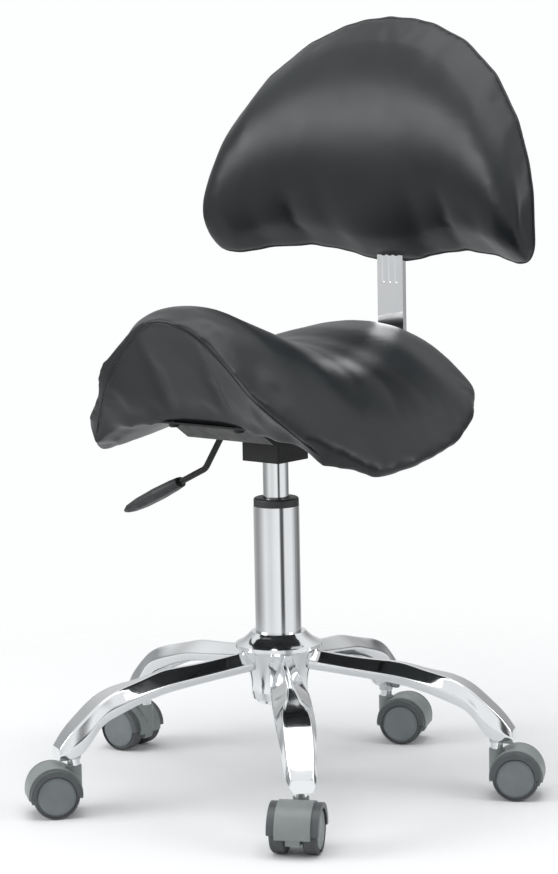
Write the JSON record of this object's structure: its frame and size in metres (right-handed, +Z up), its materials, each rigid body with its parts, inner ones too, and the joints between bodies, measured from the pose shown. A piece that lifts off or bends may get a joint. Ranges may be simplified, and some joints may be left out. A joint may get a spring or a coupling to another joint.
{
  "type": "saddle stool with back rest",
  "caption": "Height-adjustable saddle stool with a half-moon back rest on a flat bar, on a chromed star base with castors.",
  "frame": {"origin": "column axis at floor level", "axes": "+Z up along the column, +Y towards the back rest, +X to the sitter's left"},
  "size_m": [0.5581, 0.549, 0.8354],
  "materials": {
    "chrome": "polished",
    "plain_steel": "bright zinc plated",
    "black_steel": "satin powder coat",
    "grip_plastic": "fine grained",
    "column_ring": "smooth, moulded",
    "castor_grey": "satin moulded",
    "castor_tread": "matt",
    "black_leather": "soft synthetic leather, light grain",
    "shell_plastic": "moulded, unpainted"
  },
  "bodies": {
    "base": {"base_hub": "chrome", "base_arm_1": "chrome", "base_arm_2": "chrome", "base_arm_3": "chrome", "base_arm_4": "chrome", "base_arm_5": "chrome", "castor_stems": "chrome", "castor_sockets": "plain_steel", "column_tube": "chrome", "column_bush": "column_ring", "thrust_bearing": "plain_steel"},
    "column_rod": {"piston_rod": "plain_steel", "column_clip": "plain_steel"},
    "seat": {"gas_cylinder": "chrome", "taper_socket": "black_steel", "mechanism_pan": "black_steel", "seat_bolts": "plain_steel", "lever_pin": "plain_steel", "seat_shell": "shell_plastic", "seat_cushion": "black_leather"},
    "lever": {"lever_rod": "black_steel", "lever_grip": "grip_plastic"},
    "release": {"release_button": "plain_steel"},
    "knob": {"bar_knob": "grip_plastic"},
    "back_support": {"back_bar": "chrome"},
    "backrest": {"back_sleeve": "plain_steel", "backrest_screws": "plain_steel", "backrest_shell": "shell_plastic", "backrest_cushion": "black_leather", "backrest_rear_panel": "black_leather"},
    "castor_1": {"castor_1_body": "castor_grey", "castor_1_axle": "plain_steel"},
    "castor_1_left": {"castor_1_wheel_left": "castor_tread", "castor_1_cap_left": "castor_grey"},
    "castor_1_right": {"castor_1_wheel_right": "castor_tread", "castor_1_cap_right": "castor_grey"},
    "castor_2": {"castor_2_body": "castor_grey", "castor_2_axle": "plain_steel"},
    "castor_2_left": {"castor_2_wheel_left": "castor_tread", "castor_2_cap_left": "castor_grey"},
    "castor_2_right": {"castor_2_wheel_right": "castor_tread", "castor_2_cap_right": "castor_grey"},
    "castor_3": {"castor_3_body": "castor_grey", "castor_3_axle": "plain_steel"},
    "castor_3_left": {"castor_3_wheel_left": "castor_tread", "castor_3_cap_left": "castor_grey"},
    "castor_3_right": {"castor_3_wheel_right": "castor_tread", "castor_3_cap_right": "castor_grey"},
    "castor_4": {"castor_4_body": "castor_grey", "castor_4_axle": "plain_steel"},
    "castor_4_left": {"castor_4_wheel_left": "castor_tread", "castor_4_cap_left": "castor_grey"},
    "castor_4_right": {"castor_4_wheel_right": "castor_tread", "castor_4_cap_right": "castor_grey"},
    "castor_5": {"castor_5_body": "castor_grey", "castor_5_axle": "plain_steel"},
    "castor_5_left": {"castor_5_wheel_left": "castor_tread", "castor_5_cap_left": "castor_grey"},
    "castor_5_right": {"castor_5_wheel_right": "castor_tread", "castor_5_cap_right": "castor_grey"}
  },
  "joints": [
    {"name": "castor_1_swivel", "type": "hinge", "parent": "base", "child": "castor_1", "pos_m": [0.16811, -0.16988, 0.052], "axis": [0, 0, 1], "continuous": true},
    {"name": "castor_1_roll_left", "type": "hinge", "parent": "castor_1", "child": "castor_1_left", "pos_m": [0.17844, -0.18931, 0.025], "axis": [0.8829, 0.4695, 0], "continuous": true},
    {"name": "castor_1_roll_right", "type": "hinge", "parent": "castor_1", "child": "castor_1_right", "pos_m": [0.17844, -0.18931, 0.025], "axis": [0.8829, 0.4695, 0], "continuous": true},
    {"name": "castor_2_swivel", "type": "hinge", "parent": "base", "child": "castor_2", "pos_m": [0.21352, 0.10739, 0.052], "axis": [0, 0, 1], "continuous": true},
    {"name": "castor_2_roll_left", "type": "hinge", "parent": "castor_2", "child": "castor_2_left", "pos_m": [0.23257, 0.11839, 0.025], "axis": [-0.5, 0.866, 0], "continuous": true},
    {"name": "castor_2_roll_right", "type": "hinge", "parent": "castor_2", "child": "castor_2_right", "pos_m": [0.23257, 0.11839, 0.025], "axis": [-0.5, 0.866, 0], "continuous": true},
    {"name": "castor_3_swivel", "type": "hinge", "parent": "base", "child": "castor_3", "pos_m": [-0.03615, 0.23625, 0.052], "axis": [0, 0, 1], "continuous": true},
    {"name": "castor_3_roll_left", "type": "hinge", "parent": "castor_3", "child": "castor_3_left", "pos_m": [-0.01621, 0.24555, 0.025], "axis": [-0.4226, 0.9063, 0], "continuous": true},
    {"name": "castor_3_roll_right", "type": "hinge", "parent": "castor_3", "child": "castor_3_right", "pos_m": [-0.01621, 0.24555, 0.025], "axis": [-0.4226, 0.9063, 0], "continuous": true},
    {"name": "castor_4_swivel", "type": "hinge", "parent": "base", "child": "castor_4", "pos_m": [-0.23586, 0.03862, 0.052], "axis": [0, 0, 1], "continuous": true},
    {"name": "castor_4_roll_left", "type": "hinge", "parent": "castor_4", "child": "castor_4_left", "pos_m": [-0.25774, 0.03632, 0.025], "axis": [0.1045, -0.9945, 0], "continuous": true},
    {"name": "castor_4_roll_right", "type": "hinge", "parent": "castor_4", "child": "castor_4_right", "pos_m": [-0.25774, 0.03632, 0.025], "axis": [0.1045, -0.9945, 0], "continuous": true},
    {"name": "castor_5_swivel", "type": "hinge", "parent": "base", "child": "castor_5", "pos_m": [-0.10962, -0.21238, 0.052], "axis": [0, 0, 1], "continuous": true},
    {"name": "castor_5_roll_left", "type": "hinge", "parent": "castor_5", "child": "castor_5_left", "pos_m": [-0.12316, -0.22972, 0.025], "axis": [0.788, -0.6157, 0], "continuous": true},
    {"name": "castor_5_roll_right", "type": "hinge", "parent": "castor_5", "child": "castor_5_right", "pos_m": [-0.12316, -0.22972, 0.025], "axis": [0.788, -0.6157, 0], "continuous": true},
    {"name": "seat_swivel", "type": "hinge", "parent": "base", "child": "column_rod", "pos_m": [0, 0, 0.1007], "axis": [0, 0, 1], "continuous": true},
    {"name": "seat_lift", "type": "slide", "parent": "column_rod", "child": "seat", "axis": [0, 0, 1], "range_m": [-0.03, 0.11]},
    {"name": "height_lever", "type": "hinge", "parent": "seat", "child": "lever", "pos_m": [-0.03, 0, 0.4015], "axis": [0, 1, 0], "range_deg": [0, 8], "stiffness_Nm_per_rad": 1.2, "springref_deg": -20.05},
    {"name": "release_press", "type": "slide", "parent": "seat", "child": "release", "axis": [0, 0, -1], "range_m": [0, 0.0047]},
    {"name": "knob_turn", "type": "hinge", "parent": "seat", "child": "knob", "pos_m": [0, 0.066, 0.3737], "axis": [0, 0, 1], "range_deg": [-360, 0]},
    {"name": "back_depth", "type": "slide", "parent": "seat", "child": "back_support", "axis": [0, 1, 0], "range_m": [0, 0.04]},
    {"name": "back_height", "type": "slide", "parent": "back_support", "child": "backrest", "axis": [0, 0, 1], "range_m": [-0.03, 0.06]}
  ],
  "couplings": [
    {"joint": "release_press", "follows": "height_lever", "m_per_rad": 0.033}
  ]
}
